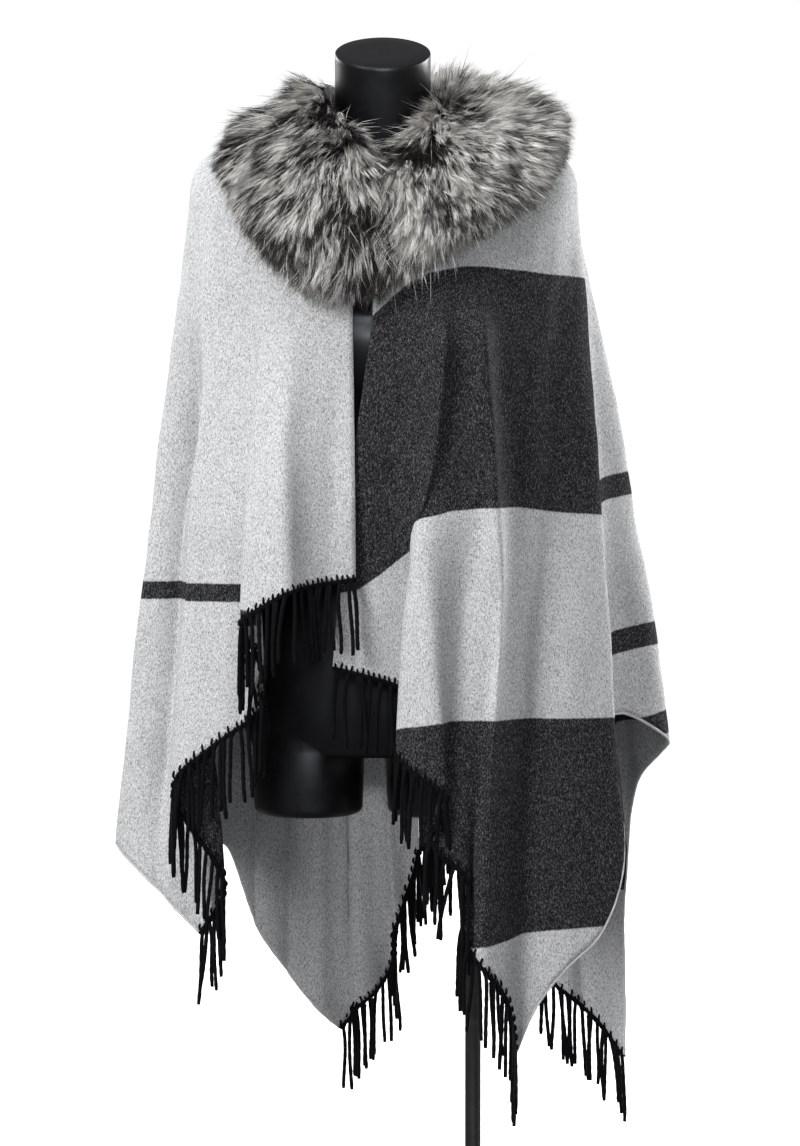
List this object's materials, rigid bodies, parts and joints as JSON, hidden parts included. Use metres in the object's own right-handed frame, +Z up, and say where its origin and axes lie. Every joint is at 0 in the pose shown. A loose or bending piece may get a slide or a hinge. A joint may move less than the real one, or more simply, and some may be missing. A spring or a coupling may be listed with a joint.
{
  "type": "wool cape coat with fur collar on a torso display form",
  "caption": "Blanket cape coat with fringed hems, open front and a deep fur shawl collar, worn by a limbless torso form that stands on a pole and a round foot.",
  "frame": {"origin": "on the floor, at the middle of the round foot's underside", "axes": "+Z up, -Y the way the garment faces, +X towards the wearer's left"},
  "size_m": [0.632, 0.38, 1.4183],
  "materials": {
    "wool": "brushed wool, light grey with charcoal bands",
    "yarn": "twisted black wool yarn",
    "fur": "long fur, black roots and tips with silver bands",
    "form_shell": "matte black",
    "stand_steel": "satin black"
  },
  "bodies": {
    "root": {"cape_right_panel": "wool", "cape_left_panel": "wool", "fringe_front_right": "yarn", "fringe_back_right": "yarn", "fringe_front_left": "yarn", "fringe_back_left": "yarn", "fur_collar": "fur", "torso_form": "form_shell", "stand_pole": "stand_steel", "stand_foot": "stand_steel"}
  },
  "joints": []
}
